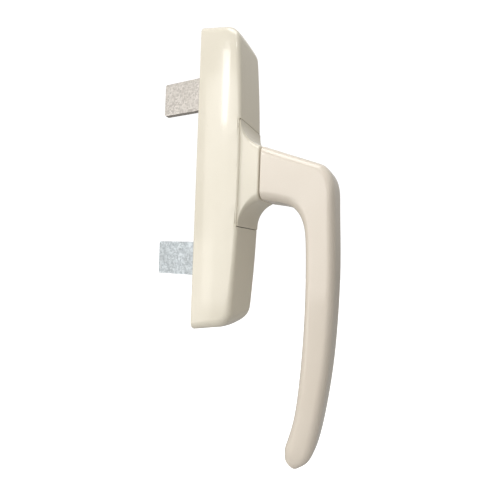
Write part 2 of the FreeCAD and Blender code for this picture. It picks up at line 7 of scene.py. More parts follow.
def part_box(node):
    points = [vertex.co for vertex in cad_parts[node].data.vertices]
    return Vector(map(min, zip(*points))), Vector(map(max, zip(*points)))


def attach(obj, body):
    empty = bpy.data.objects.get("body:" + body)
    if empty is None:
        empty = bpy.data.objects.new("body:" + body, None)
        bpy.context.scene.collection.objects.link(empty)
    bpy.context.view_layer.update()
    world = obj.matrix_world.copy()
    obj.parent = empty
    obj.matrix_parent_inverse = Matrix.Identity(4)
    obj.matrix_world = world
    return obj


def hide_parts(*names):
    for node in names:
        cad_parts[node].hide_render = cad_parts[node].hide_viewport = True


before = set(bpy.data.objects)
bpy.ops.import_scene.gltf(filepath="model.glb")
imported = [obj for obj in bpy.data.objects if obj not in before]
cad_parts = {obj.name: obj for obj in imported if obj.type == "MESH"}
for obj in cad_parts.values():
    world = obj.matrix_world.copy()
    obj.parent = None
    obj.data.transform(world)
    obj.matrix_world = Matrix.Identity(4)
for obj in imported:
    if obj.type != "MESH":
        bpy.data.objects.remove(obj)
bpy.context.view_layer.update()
print("frame loaded:", len(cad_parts), "nodes")

mm = 0.001
near = 0.02 * mm  # two places this close are the same
weld = 0.005 * mm  # vertices this close are merged
quarter = math.pi / 2


def selectOnly(piece):
    bpy.ops.object.select_all(action="DESELECT")
    piece.select_set(True)
    bpy.context.view_layer.objects.active = piece


def editOnly(piece):
    if bpy.context.mode != "OBJECT":
        bpy.ops.object.mode_set(mode="OBJECT")
    selectOnly(piece)
    bpy.ops.object.mode_set(mode="EDIT")


def pick(piece, kind, test):
    # selects the vertices, edges or faces whose test passes, and nothing else
    bpy.ops.mesh.select_mode(type=kind)
    bpy.ops.mesh.select_all(action="DESELECT")
    mesh = bmesh.from_edit_mesh(piece.data)
    parts = {"VERT": mesh.verts, "EDGE": mesh.edges, "FACE": mesh.faces}[kind]
    found = 0
    for part in parts:
        if test(part):
            part.select_set(True)
            found += 1
    mesh.select_flush_mode()
    bmesh.update_edit_mesh(piece.data)
    return found


def levels(piece, axis):
    # the different heights of the vertices along an axis, lowest first
    found = []
    for vert in bmesh.from_edit_mesh(piece.data).verts:
        if all(abs(vert.co[axis] - old) > near for old in found):
            found.append(vert.co[axis])
    return sorted(found)


def atLevel(axis, place):
    return lambda vert: abs(vert.co[axis] - place) <= near


def cutPicked(axis, place):
    normal = [0, 0, 0]
    normal[axis] = 1
    point = [0, 0, 0]
    point[axis] = place
    bpy.ops.mesh.bisect(plane_co=point, plane_no=normal)


def cutAcross(axis, place):
    bpy.ops.mesh.select_all(action="SELECT")
    cutPicked(axis, place)


def isBorder(edge):
    return len(edge.link_faces) == 1


def foldOf(edge):
    return edge.calc_face_angle(0.0) if len(edge.link_faces) == 2 else 0.0


def isSharp(edge, degrees):
    return foldOf(edge) > math.radians(degrees)


def smoothBelow(degrees):
    bpy.ops.object.shade_smooth_by_angle(angle=math.radians(degrees))


def bevelEdges(width, segments):
    bpy.ops.mesh.bevel(offset=width, offset_type="OFFSET", segments=segments)


def addRound(radius, front, back, sides):
    # a cylinder along Y from one place to the other
    bpy.ops.mesh.primitive_cylinder_add(
        vertices=sides, radius=radius, depth=back - front,
        location=(0, (front + back) / 2, 0), rotation=(quarter, 0, 0))
    return bpy.context.object


def ringAt(width, height, radius, segments, place, tilt):
    # a rounded rectangle across X, tilted about X and moved to its place
    bpy.ops.mesh.primitive_plane_add(size=1)
    bpy.ops.transform.resize(value=(width, height, 1))
    bpy.ops.mesh.bevel(
        offset=radius, offset_type="OFFSET", segments=segments, affect="VERTICES")
    bpy.ops.transform.rotate(value=-tilt, orient_axis="X", center_override=(0, 0, 0))
    bpy.ops.transform.translate(value=place)
    bpy.ops.mesh.delete(type="ONLY_FACE")


def applyAll(piece):
    for modifier in list(piece.modifiers):
        bpy.ops.object.modifier_apply(modifier=modifier.name)


def leaveEdit():
    bpy.ops.mesh.select_mode(type="VERT")
    bpy.ops.mesh.select_all(action="SELECT")
    bpy.ops.mesh.remove_doubles(threshold=weld)
    bpy.ops.mesh.normals_make_consistent(inside=False)
    bpy.ops.object.mode_set(mode="OBJECT")


def newPiece(name):
    bpy.ops.mesh.primitive_cube_add(size=1)
    piece = bpy.context.object
    piece.name = name
    piece.data.name = name
    return piece


def emptyPiece(name):
    piece = newPiece(name)
    editOnly(piece)
    bpy.ops.mesh.select_all(action="SELECT")
    bpy.ops.mesh.delete(type="VERT")
    return piece


casing = {
    "shoulderDepth": 23.5 * mm,  # where the crowned front meets the end rounding
    "endLean": 3.0 * mm,
    "endRadius": 9.0 * mm,
    "endSegments": 12,
    "sideFlat": 11.0 * mm,
    "sideCurveRadius": 120.3 * mm,
    "creaseRadius": 1.7 * mm,  # beside the neck, where the crease is crisp
    "cornerRadius": 4.0 * mm,  # at the ends
    "crispReach": 40.0 * mm,  # the crease stays crisp this far from the middle
    "softEnd": 4.0 * mm,  # it is fully soft this far before the end
    "softening": 1.6,  # power: above 1, it softens late
    "creaseFold": 50,  # degrees
    "edgeSegments": 7,
    "wall": 1.6 * mm,
    "rowStep": 5.0 * mm,
    "endArch": 1.7 * mm,  # the ends are this much longer in the middle than at the sides
    "archStep": 2.3 * mm,
    "archColumns": 4,  # to each side of the middle
    "sideRowStep": 2.0 * mm,
    "sideRows": 5,
    "rimRadius": 1.1 * mm,
    "rimSegments": 4,
    "rimFold": 60,  # degrees
    "rimUneven": 0.1 * mm,  # the wall's rim is this uneven before it is flattened
    "smooth": 35,  # degrees
    "seamBeside": 0.04 * mm,  # gap between the window and the neck's sides
    "seamAcross": 0.42 * mm,  # gap above and below the neck
}
casingLow, casingHigh = [Vector(corner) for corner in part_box("casing")]
casingMiddle = (casingLow.z + casingHigh.z) / 2
casingHalfWidth = (casingHigh.x - casingLow.x) / 2
casingHalfHeight = (casingHigh.z - casingLow.z) / 2
casingDepth = -casingLow.y


def crownDepth(z):
    # depth of the crowned front at a height
    reach = casingHalfHeight - casing["endLean"] - casing["endRadius"]
    rise = casingDepth - casing["shoulderDepth"]
    radius = (reach ** 2 + rise ** 2) / (2 * rise)
    return casingDepth - radius + math.sqrt(radius ** 2 - (z - casingMiddle) ** 2)


def sideInset(depth):
    past = max(0.0, depth - casing["sideFlat"])
    return casing["sideCurveRadius"] - math.sqrt(casing["sideCurveRadius"] ** 2 - past ** 2)


def nearWindow(face, reach):
    middle = face.calc_center_median()
    return -middle.y > casing["shoulderDepth"] and abs(middle.z) < reach


def isOuterRim(edge):
    middle = (edge.verts[0].co + edge.verts[1].co) / 2
    outward = Vector((middle.x, 0, middle.z - casingMiddle))
    facing = max(face.normal.x * outward.x + face.normal.z * outward.z for face in edge.link_faces)
    return middle.y > -near and isSharp(edge, casing["rimFold"]) and facing > near


def creaseRadiusAt(away):
    # radius of the casing's long edges at a distance from its middle
    fade = casingHalfHeight - casing["crispReach"] - casing["softEnd"]
    share = min(1, max(0, (away - casing["crispReach"]) / fade))
    growth = casing["cornerRadius"] - casing["creaseRadius"]
    return casing["creaseRadius"] + growth * share ** casing["softening"]


def makeCasing():
    cover = newPiece("casingCover")
    shoulder = casing["shoulderDepth"]
    height = 2 * casingHalfHeight
    cover.scale = (2 * casingHalfWidth, shoulder, height)
    cover.location = (0, -shoulder / 2, casingMiddle)
    bpy.ops.object.transform_apply(location=True, rotation=True, scale=True)
    editOnly(cover)
    pick(cover, "VERT", atLevel(1, -shoulder))
    lean = (height - 2 * casing["endLean"]) / height
    bpy.ops.transform.resize(value=(1, 1, lean), center_override=(0, 0, casingMiddle))
    pick(cover, "FACE", lambda face: face.normal.y > 0.9)
    bpy.ops.mesh.delete(type="ONLY_FACE")  # the back is open
    pick(cover, "EDGE", lambda edge: all(abs(v.co.y + shoulder) < near for v in edge.verts)
         and abs(edge.verts[0].co.z - edge.verts[1].co.z) < near)
    bevelEdges(casing["endRadius"], casing["endSegments"])
    frontReach = casingHalfHeight - casing["endLean"] - casing["endRadius"]
    rows = int(frontReach / casing["rowStep"])
    for k in range(-rows, rows + 1):
        cutAcross(2, casingMiddle + k * casing["rowStep"])
    for z in levels(cover, 2):  # the front bulges, one row at a time
        if abs(z - casingMiddle) > frontReach + near:
            continue
        if pick(cover, "VERT",
                lambda v: abs(v.co.z - z) < near and abs(v.co.y + shoulder) < near):
            bpy.ops.transform.translate(value=(0, shoulder - crownDepth(z), 0))
    for k in range(-casing["archColumns"], casing["archColumns"] + 1):
        cutAcross(0, k * casing["archStep"])
    endReach = casingHalfHeight - frontReach
    for x in levels(cover, 0):  # the ends arch across, one column at a time
        shorter = (endReach - casing["endArch"] * (x / casingHalfWidth) ** 2) / endReach
        for side in (-1, 1):
            pick(cover, "VERT", lambda v: abs(v.co.x - x) < near and -v.co.y > casing["sideFlat"]
                 and side * (v.co.z - casingMiddle) > frontReach + near)
            pivot = (0, 0, casingMiddle + side * frontReach)
            bpy.ops.transform.resize(value=(1, 1, shorter), center_override=pivot)
    mesh = bmesh.from_edit_mesh(cover.data)
    weight = mesh.edges.layers.float.new("bevel_weight_edge")
    for edge in mesh.edges:
        if isSharp(edge, casing["creaseFold"]):
            away = abs((edge.verts[0].co.z + edge.verts[1].co.z) / 2 - casingMiddle)
            edge[weight] = creaseRadiusAt(away) / casing["cornerRadius"]
    bmesh.update_edit_mesh(cover.data)
    leaveEdit()
    edges = cover.modifiers.new("edges", "BEVEL")  # crisp by the neck, softer to the ends
    edges.limit_method = "WEIGHT"
    edges.width = casing["cornerRadius"]
    edges.segments = casing["edgeSegments"]
    edges.use_clamp_overlap = False
    applyAll(cover)
    editOnly(cover)
    for k in range(casing["sideRows"]):
        cutAcross(1, -casing["sideFlat"] - k * casing["sideRowStep"])
    for y in levels(cover, 1):  # the sides close in towards the front
        inset = sideInset(-y)
        if inset > 0 and pick(cover, "VERT", atLevel(1, y)):
            narrow = (casingHalfWidth - inset) / casingHalfWidth
            bpy.ops.transform.resize(value=(narrow, 1, 1), center_override=(0, 0, 0))
    across = neck["halfWidth"] + casing["seamBeside"]
    high = neck["halfHeight"] + casing["seamAcross"]
    for axis, place in ((2, -high), (2, high), (0, -across), (0, across)):
        pick(cover, "FACE", lambda face: nearWindow(face, high + casing["rowStep"]))
        cutPicked(axis, place)
    pick(cover, "FACE",
         lambda face: nearWindow(face, high) and abs(face.calc_center_median().x) < across)
    bpy.ops.mesh.delete(type="FACE")  # the neck stands in this window
    leaveEdit()
    wall = cover.modifiers.new("wall", "SOLIDIFY")
    wall.thickness = casing["wall"]
    wall.offset = -1
    wall.use_quality_normals = True
    applyAll(cover)
    editOnly(cover)
    pick(cover, "VERT", lambda v: v.co.y > -casing["rimUneven"])
    bpy.ops.transform.resize(value=(1, 0, 1), center_override=(0, 0, 0))  # flat on the sash
    pick(cover, "EDGE", isOuterRim)
    bevelEdges(casing["rimRadius"], casing["rimSegments"])
    leaveEdit()
    smoothBelow(casing["smooth"])
    return cover


neck = {
    "halfHeight": 27.8 * mm,
    "halfWidth": 13.05 * mm,
    "endHalfHeight": 14.0 * mm,
    "endHalfWidth": 12.1 * mm,
    "bow": 2.9 * mm,  # of the flare's hollow
    "step": 0.05 * mm,  # the flare's edge stands this far off the casing
    "root": 2.6 * mm,  # it goes this far into the casing
    "rootTaper": 0.9,  # width at the root's inner end, as a share
    "baseRadius": 0.9 * mm,
    "endRadius": 4.0 * mm,
    "cornerSegments": 6,
    "cuts": 15,
    "rimRadius": 0.7 * mm,
    "rimSegments": 4,
    "rimFold": 45,  # degrees
    "bushFlange": 1.5 * mm,  # the bush's flange is this much wider than its barrel
    "bushRecess": 1.0 * mm,
    "boreSides": 96,
    "smooth": 32,  # degrees
}


def flareCentre(base, end):
    # centre and radius of the arc between two points (depth, half height) with the neck's bow
    chord = end - base
    hollow = Vector((chord.y, -chord.x)).normalized()
    radius = (chord.length ** 2 / 4 + neck["bow"] ** 2) / (2 * neck["bow"])
    return (base + end) / 2 - hollow * (radius - neck["bow"]), radius


def cutOut(piece, cutter):
    selectOnly(piece)
    hole = piece.modifiers.new("hole", "BOOLEAN")
    hole.operation = "DIFFERENCE"
    hole.object = cutter
    applyAll(piece)
    bpy.data.objects.remove(cutter)


def makeNeck():
    collar = emptyPiece("neckCollar")
    endDepth = -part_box("mechanism_body")[0][1]
    baseDepth = crownDepth(neck["halfHeight"]) + neck["step"]
    for depth, wide, high, radius in (
            (baseDepth, neck["halfWidth"], neck["halfHeight"], neck["baseRadius"]),
            (endDepth, neck["endHalfWidth"], neck["endHalfHeight"], neck["endRadius"])):
        ringAt(2 * wide, 2 * high, radius, neck["cornerSegments"], (0, -depth, 0), quarter)
    bpy.ops.mesh.select_all(action="SELECT")
    bpy.ops.mesh.bridge_edge_loops(number_cuts=neck["cuts"], interpolation="LINEAR")
    base = Vector((baseDepth, neck["halfHeight"]))
    end = Vector((endDepth, neck["endHalfHeight"]))
    centre, radius = flareCentre(base, end)
    first = math.atan2(base.y - centre.y, base.x - centre.x) % math.tau
    last = math.atan2(end.y - centre.y, end.x - centre.x) % math.tau
    rows = neck["cuts"] + 1
    for k in range(1, rows):
        share = k / rows
        oldDepth = baseDepth + (endDepth - baseDepth) * share
        oldHalf = base.y + (end.y - base.y) * share
        angle = first + (last - first) * share
        newDepth = centre.x + radius * math.cos(angle)
        newHalf = centre.y + radius * math.sin(angle)
        pick(collar, "VERT", atLevel(1, -oldDepth))
        bpy.ops.transform.resize(value=(1, 1, newHalf / oldHalf), center_override=(0, 0, 0))
        bpy.ops.transform.translate(value=(0, oldDepth - newDepth, 0))
    pick(collar, "EDGE", lambda edge: isBorder(edge) and edge.verts[0].co.y < -endDepth + near)
    bpy.ops.mesh.edge_face_add()
    pick(collar, "EDGE", lambda edge: isSharp(edge, neck["rimFold"])
         and max(v.co.y for v in edge.verts) < -endDepth + near)
    bevelEdges(neck["rimRadius"], neck["rimSegments"])
    pick(collar, "EDGE", isBorder)
    bpy.ops.mesh.extrude_region_move()
    bpy.ops.transform.translate(value=(0, neck["root"], 0))
    bpy.ops.transform.resize(value=(neck["rootTaper"], 1, 1), center_override=(0, 0, 0))
    bpy.ops.mesh.edge_face_add()
    leaveEdit()
    flangeRadius = Vector(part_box("lever_bush")[1]).x
    front = -endDepth - neck["root"]
    for radius, back in ((flangeRadius - neck["bushFlange"], -baseDepth + 2 * neck["root"]),
                         (flangeRadius, -endDepth + neck["bushRecess"])):
        cutOut(collar, addRound(radius, front, back, neck["boreSides"]))
    smoothBelow(neck["smooth"])
    return collar


lever = {
    "hubDepth": 36.8 * mm,
    "reach": 38.4 * mm,  # hub face to the grip's outermost side
    "topStraight": (26.0, 4.02),  # mm out from the hub and up, where the hub's top ends
    "lowStraight": (8.5, -15.4),
    "outer": (  # shares of the reach outward and of the length down
        (0.859, -0.004), (0.953, 0.045), (0.973, 0.137), (1.0, 0.357), (0.966, 0.604),
        (0.889, 0.783), (0.802, 0.907), (0.719, 0.966), (0.570, 1.0)),
    "inner": (
        (0.430, 0.124), (0.570, 0.175), (0.618, 0.261), (0.626, 0.467), (0.590, 0.666),
        (0.529, 0.817), (0.452, 0.900), (0.406, 0.938), (0.404, 0.968)),
    "widths": (  # mm, hub to tip
        24.2, 23.4, 23.2, 23.0, 22.6, 21.7, 20.9, 20.1, 19.0, 17.8, 15.2),
    "radii": (4.8, 5.2, 5.2, 5.1, 5.2, 5.2, 5.2, 5.2, 5.0, 4.8, 4.0),
    "hubHalfHeight": 14.0 * mm,
    "between": 3,  # rings from one station to the next
    "roundest": 0.47,  # a corner's radius is at most this share of the thickness
    "cornerSegments": 5,
    "hubRim": 0.9 * mm,
    "hubRimSegments": 3,
    "hubFold": 45,  # degrees
    "tipRings": (  # size, and mm beyond the last station
        (0.92, 0.5), (0.76, 0.95), (0.5, 1.3), (0.2, 1.45)),
    "smoothing": 2,  # levels
    "smooth": 60,  # degrees
}
leverLow, leverHigh = [Vector(corner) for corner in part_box("lever")]


def alongStations(values, place):
    # smooth value between stations, passing through each of them
    low = min(int(place), len(values) - 2)
    share = place - low
    before = values[max(low - 1, 0)]
    after = values[min(low + 2, len(values) - 1)]
    start = values[low]
    stop = values[low + 1]
    square = share * share
    cube = square * share
    return 0.5 * (2 * start + (stop - before) * share
                  + (2 * before - 5 * start + 4 * stop - after) * square
                  + (3 * start - before - 3 * stop + after) * cube)


def leverOutline(side, straightEnd, hubHigh):
    points = [Vector((lever["hubDepth"], hubHigh)),
              Vector((lever["hubDepth"] + straightEnd[0] * mm, straightEnd[1] * mm))]
    for out, down in side:
        points.append(Vector((lever["hubDepth"] + out * lever["reach"], down * leverLow.z)))
    return points


def makeLever():
    grip = emptyPiece("leverGrip")
    outer = leverOutline(lever["outer"], lever["topStraight"], lever["hubHalfHeight"])
    inner = leverOutline(lever["inner"], lever["lowStraight"], -lever["hubHalfHeight"])
    steps = (len(outer) - 1) * lever["between"]
    for k in range(steps + 1):
        place = k / lever["between"]
        if place <= 1:
            high = outer[0].lerp(outer[1], place)
            low = inner[0].lerp(inner[1], place)
        else:
            high = alongStations(outer, place)
            low = alongStations(inner, place)
        width = alongStations(lever["widths"], place) * mm
        radius = alongStations(lever["radii"], place) * mm
        across = high - low
        middle = (high + low) / 2
        tilt = math.atan2(across.y, -across.x)
        corner = min(radius, across.length * lever["roundest"])
        spot = (0, -middle.x, middle.y)
        ringAt(width, across.length, corner, lever["cornerSegments"], spot, tilt)
    forward = Vector((across.y, -across.x)).normalized()
    if forward.y > 0:
        forward = -forward
    for size, beyond in lever["tipRings"]:
        tip = middle + forward * beyond * mm
        ringAt(width * size, across.length * size, corner * size, lever["cornerSegments"],
               (0, -tip.x, tip.y), tilt)
    bpy.ops.mesh.select_all(action="SELECT")
    bpy.ops.mesh.bridge_edge_loops()
    hubFace = -lever["hubDepth"] - near
    pick(grip, "EDGE", lambda edge: isBorder(edge) and edge.verts[0].co.y > hubFace)
    bpy.ops.mesh.edge_face_add()
    pick(grip, "EDGE", isBorder)
    bpy.ops.mesh.edge_face_add()
    pick(grip, "EDGE", lambda edge: isSharp(edge, lever["hubFold"])
         and min(v.co.y for v in edge.verts) > hubFace)
    bevelEdges(lever["hubRim"], lever["hubRimSegments"])
    leaveEdit()
    smooth = grip.modifiers.new("smooth", "SUBSURF")
    smooth.levels = lever["smoothing"]
    smooth.render_levels = lever["smoothing"]
    applyAll(grip)
    smoothBelow(lever["smooth"])
    return grip


spigot = {
    "radius": 7.0 * mm,
    "groove": 0.5 * mm,  # depth, for the retaining ring
    "inHub": 1.5 * mm,  # it goes this far into the lever
    "rim": 0.4 * mm,
    "rimSegments": 2,
    "rimFold": 60,  # degrees
    "sides": 96,
    "smooth": 30,  # degrees
}


def makeSpigot():
    ringLow, ringHigh = [Vector(corner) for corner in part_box("retaining_ring")]
    front = -lever["hubDepth"] - spigot["inHub"]
    back = leverHigh.y
    shank = addRound(spigot["radius"], front, back, spigot["sides"])
    shank.name = "leverSpigot"
    bpy.ops.object.transform_apply(location=True, rotation=True, scale=True)
    editOnly(shank)
    for y in (ringLow.y, ringHigh.y):
        cutAcross(1, y)
    middle = (ringLow.y + ringHigh.y) / 2
    pick(shank, "FACE", lambda face: abs(face.calc_center_median().y - middle) < near)
    bpy.ops.mesh.extrude_region_shrink_fatten(
        TRANSFORM_OT_shrink_fatten={"value": -spigot["groove"]})
    pick(shank, "EDGE", lambda edge: isSharp(edge, spigot["rimFold"])
         and min(v.co.y for v in edge.verts) > back - near)
    bevelEdges(spigot["rim"], spigot["rimSegments"])
    leaveEdit()
    smoothBelow(spigot["smooth"])
    return shank


core = {
    "front": 23.72 * mm,  # the neck takes over in front of this depth
    "merge": 0.002 * mm,
    "smooth": 30,  # degrees
}


def makeCore():
    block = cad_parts["mechanism_body"].copy()
    block.data = block.data.copy()
    block.name = "mechanismCore"
    bpy.context.collection.objects.link(block)
    for key in list(block.keys()):
        del block[key]
    editOnly(block)
    bpy.ops.mesh.select_all(action="SELECT")
    bpy.ops.mesh.remove_doubles(threshold=core["merge"])
    bpy.ops.mesh.bisect(
        plane_co=(0, -core["front"], 0), plane_no=(0, 1, 0), use_fill=True, clear_inner=True)
    bpy.ops.object.mode_set(mode="OBJECT")
    smoothBelow(core["smooth"])
    return block


def shade(red, green, blue):
    # a display colour, 0 to 255, as the linear colour that a shader takes
    def linear(c):
        c = c / 255
        return c / 12.92 if c <= 0.04045 else ((c + 0.055) / 1.055) ** 2.4
    return (linear(red), linear(green), linear(blue), 1)


class Nodes:
    # adds nodes to a tree, left to right, and joins them
    def __init__(self, tree):
        self.tree = tree
        self.column = 0

    def add(self, kind, **settings):
        node = self.tree.nodes.new(kind)
        node.location = (self.column, 0)
        self.column += 220
        for name, value in settings.items():
            setattr(node, name, value)
        return node

    def join(self, output, socket):
        self.tree.links.new(output, socket)

    def give(self, socket, value):
        # the value is another node's output or a plain number or colour
        if hasattr(value, "links"):
            self.join(value, socket)
        else:
            socket.default_value = value

    def noise(self, place, scale, detail=3.0, roughness=0.5, distortion=0.0):
        node = self.add("ShaderNodeTexNoise")
        self.join(place, node.inputs["Vector"])
        self.give(node.inputs["Scale"], scale)
        node.inputs["Detail"].default_value = detail
        node.inputs["Roughness"].default_value = roughness
        node.inputs["Distortion"].default_value = distortion
        return node.outputs["Fac"]

    def span(self, value, low, high, toLow, toHigh, smooth=False):
        node = self.add("ShaderNodeMapRange")
        node.interpolation_type = "SMOOTHSTEP" if smooth else "LINEAR"
        self.join(value, node.inputs["Value"])
        for name, number in (("From Min", low), ("From Max", high),
                             ("To Min", toLow), ("To Max", toHigh)):
            self.give(node.inputs[name], number)
        return node.outputs["Result"]

    def calculate(self, first, second, operation):
        node = self.add("ShaderNodeMath", operation=operation)
        self.give(node.inputs[0], first)
        self.give(node.inputs[1], second)
        return node.outputs["Value"]

    def times(self, first, second):
        return self.calculate(first, second, "MULTIPLY")

    def plus(self, first, second):
        return self.calculate(first, second, "ADD")

    def blend(self, share, first, second):
        node = self.add("ShaderNodeMix", data_type="RGBA")
        self.join(share, node.inputs["Factor"])
        for name, value in (("A", first), ("B", second)):
            socket = [i for i in node.inputs if i.name == name and i.type == "RGBA"][0]
            self.give(socket, value)
        return [o for o in node.outputs if o.type == "RGBA"][0]

    def place(self):
        return self.add("ShaderNodeTexCoord").outputs["Object"]


def newGroup(name, takes, gives):
    # takes: {name: default}; gives: names of the values that come out
    tree = bpy.data.node_groups.new(name, "ShaderNodeTree")
    for label, value in takes.items():
        socket = tree.interface.new_socket(label, in_out="INPUT", socket_type="NodeSocketFloat")
        socket.default_value = value
    for label in gives:
        tree.interface.new_socket(label, in_out="OUTPUT", socket_type="NodeSocketFloat")
    nodes = Nodes(tree)
    start = nodes.add("NodeGroupInput")
    return tree, nodes, start


def makePowderSkin():
    # sprayed powder: orange peel, slow waviness, handling haze, uneven tone and specks
    tree, nodes, start = newGroup(
        "powderSkin", {"Peel Scale": 900.0, "Wave Scale": 110.0, "Haze Scale": 60.0},
        ("Height", "Haze", "Tone", "Speck"))
    place = nodes.place()
    peel = nodes.noise(place, start.outputs["Peel Scale"], 2.0, 0.45)
    wave = nodes.noise(place, start.outputs["Wave Scale"], 1.0, 0.4)
    haze = nodes.noise(place, start.outputs["Haze Scale"], 5.0, 0.62, 0.6)
    tone = nodes.noise(place, 34.0, 2.0, 0.5)
    speck = nodes.noise(place, 2600.0, 1.0, 0.4)
    end = nodes.add("NodeGroupOutput")
    height = nodes.plus(nodes.times(peel, 0.55), nodes.times(wave, 0.45))
    nodes.join(height, end.inputs["Height"])
    nodes.join(nodes.span(haze, 0.38, 0.72, 0.0, 1.0, True), end.inputs["Haze"])
    nodes.join(nodes.span(tone, 0.3, 0.7, 0.0, 1.0), end.inputs["Tone"])
    nodes.join(nodes.span(speck, 0.72, 0.8, 0.0, 1.0), end.inputs["Speck"])
    return tree


def makeZincSpangle():
    # galvanised steel: crystals of different greys, fine grain, and dull oxide clouds
    tree, nodes, start = newGroup(
        "zincSpangle", {"Crystal Scale": 260.0, "Grain Scale": 2400.0},
        ("Crystal", "Cloud", "Height"))
    place = nodes.place()
    warp = nodes.noise(place, 420.0, 2.0)
    shift = nodes.add("ShaderNodeVectorMath", operation="MULTIPLY_ADD")
    nodes.join(place, shift.inputs[2])
    shift.inputs[1].default_value = (0.0012, 0.0012, 0.0012)
    nodes.join(warp, shift.inputs[0])
    cells = nodes.add("ShaderNodeTexVoronoi", feature="F1")
    nodes.join(shift.outputs["Vector"], cells.inputs["Vector"])
    nodes.join(start.outputs["Crystal Scale"], cells.inputs["Scale"])
    cells.inputs["Randomness"].default_value = 1.0
    split = nodes.add("ShaderNodeSeparateColor")
    nodes.join(cells.outputs["Color"], split.inputs["Color"])
    feather = nodes.noise(shift.outputs["Vector"], 1500.0, 4.0, 0.7, 1.2)
    crystal = nodes.plus(nodes.times(split.outputs["Red"], 0.6), nodes.times(feather, 0.4))
    grain = nodes.noise(place, start.outputs["Grain Scale"], 3.0, 0.6)
    cloud = nodes.noise(place, 95.0, 4.0, 0.6, 0.4)
    end = nodes.add("NodeGroupOutput")
    nodes.join(crystal, end.inputs["Crystal"])
    nodes.join(nodes.span(cloud, 0.35, 0.68, 0.0, 1.0, True), end.inputs["Cloud"])
    height = nodes.plus(nodes.times(crystal, 0.3), nodes.times(grain, 0.7))
    nodes.join(height, end.inputs["Height"])
    return tree


def makeToolMarks():
    # fine parallel marks left by grinding or turning, broken up along their length
    tree, nodes, start = newGroup(
        "toolMarks", {"Across": 5200.0, "Along": 180.0}, ("Mark", "Stain"))
    place = nodes.place()
    split = nodes.add("ShaderNodeSeparateXYZ")
    nodes.join(place, split.inputs["Vector"])
    stretch = nodes.add("ShaderNodeCombineXYZ")
    for axis, label in (("X", "Across"), ("Y", "Across"), ("Z", "Along")):
        scaled = nodes.times(split.outputs[axis], start.outputs[label])
        nodes.join(scaled, stretch.inputs[axis])
    mark = nodes.noise(stretch.outputs["Vector"], 1.0, 4.0, 0.65)
    stain = nodes.noise(place, 160.0, 4.0, 0.6, 0.5)
    end = nodes.add("NodeGroupOutput")
    nodes.join(mark, end.inputs["Mark"])
    nodes.join(nodes.span(stain, 0.4, 0.7, 0.0, 1.0, True), end.inputs["Stain"])
    return tree


powderSkin = makePowderSkin()
zincSpangle = makeZincSpangle()
toolMarks = makeToolMarks()


def newMaterial(name):
    material = bpy.data.materials.new(name)
    material.use_nodes = True
    material.node_tree.nodes.clear()
    return material, Nodes(material.node_tree)


def useGroup(nodes, group, **values):
    node = nodes.add("ShaderNodeGroup")
    node.node_tree = group
    for label, value in values.items():
        node.inputs[label.replace("_", " ")].default_value = value
    return node.outputs


def finishShader(nodes, colour, roughness, height, bump, metallic, settings):
    # bump: (strength, distance)
    relief = nodes.add("ShaderNodeBump")
    relief.inputs["Strength"].default_value = bump[0]
    relief.inputs["Distance"].default_value = bump[1]
    nodes.join(height, relief.inputs["Height"])
    surface = nodes.add("ShaderNodeBsdfPrincipled")
    nodes.join(colour, surface.inputs["Base Color"])
    nodes.join(roughness, surface.inputs["Roughness"])
    nodes.join(relief.outputs["Normal"], surface.inputs["Normal"])
    surface.inputs["Metallic"].default_value = metallic
    for label, value in settings.items():
        surface.inputs[label].default_value = value
    out = nodes.add("ShaderNodeOutputMaterial")
    nodes.join(surface.outputs["BSDF"], out.inputs["Surface"])


def powderCoat(name, light, dark, gloss, peel, polish=None):
    # polish: (from height, to height), where hands have smoothed the coat
    material, nodes = newMaterial(name)
    skin = useGroup(nodes, powderSkin, Peel_Scale=peel)
    colour = nodes.blend(skin["Tone"], light, dark)
    colour = nodes.blend(nodes.times(skin["Speck"], 0.25), colour, shade(176, 164, 140))
    roughness = nodes.span(skin["Haze"], 0.0, 1.0, gloss, gloss + 0.03)
    if polish:
        split = nodes.add("ShaderNodeSeparateXYZ")
        nodes.join(nodes.place(), split.inputs["Vector"])
        worn = nodes.span(split.outputs["Z"], polish[0], polish[1], 0.0, 0.06, True)
        roughness = nodes.calculate(roughness, worn, "SUBTRACT")
    finishShader(nodes, colour, roughness, skin["Height"], (0.1, 0.06 * mm), 0.0,
                 {"IOR": 1.5, "Coat Weight": 0.6, "Coat Roughness": 0.07, "Coat IOR": 1.5})
    return material


def galvanised(name, bright, dull, oxide, crystal, roughness):
    material, nodes = newMaterial(name)
    zinc = useGroup(nodes, zincSpangle, Crystal_Scale=crystal)
    colour = nodes.blend(nodes.span(zinc["Crystal"], 0.2, 0.8, 0.0, 1.0), dull, bright)
    colour = nodes.blend(nodes.times(zinc["Cloud"], 0.45), colour, oxide)
    rough = nodes.plus(nodes.span(zinc["Crystal"], 0.2, 0.8, roughness + 0.1, roughness - 0.06),
                       nodes.times(zinc["Cloud"], 0.12))
    finishShader(nodes, colour, rough, zinc["Height"], (0.22, 0.06 * mm), 0.85, {})
    return material


def machinedSteel(name, bright, stain, roughness, across=5200.0, along=180.0):
    material, nodes = newMaterial(name)
    marks = useGroup(nodes, toolMarks, Across=across, Along=along)
    colour = nodes.blend(nodes.times(marks["Stain"], 0.5), bright, stain)
    rough = nodes.plus(nodes.span(marks["Mark"], 0.3, 0.7, roughness - 0.06, roughness + 0.08),
                       nodes.times(marks["Stain"], 0.08))
    finishShader(nodes, colour, rough, marks["Mark"], (0.25, 0.02 * mm), 1.0, {})
    return material


def blackNylon(name):
    material, nodes = newMaterial(name)
    skin = useGroup(nodes, powderSkin, Peel_Scale=1800.0)
    colour = nodes.blend(skin["Tone"], shade(30, 30, 31), shade(44, 43, 42))
    roughness = nodes.span(skin["Haze"], 0.0, 1.0, 0.42, 0.58)
    finishShader(nodes, colour, roughness, skin["Height"], (0.3, 0.05 * mm), 0.0, {"IOR": 1.53})
    return material


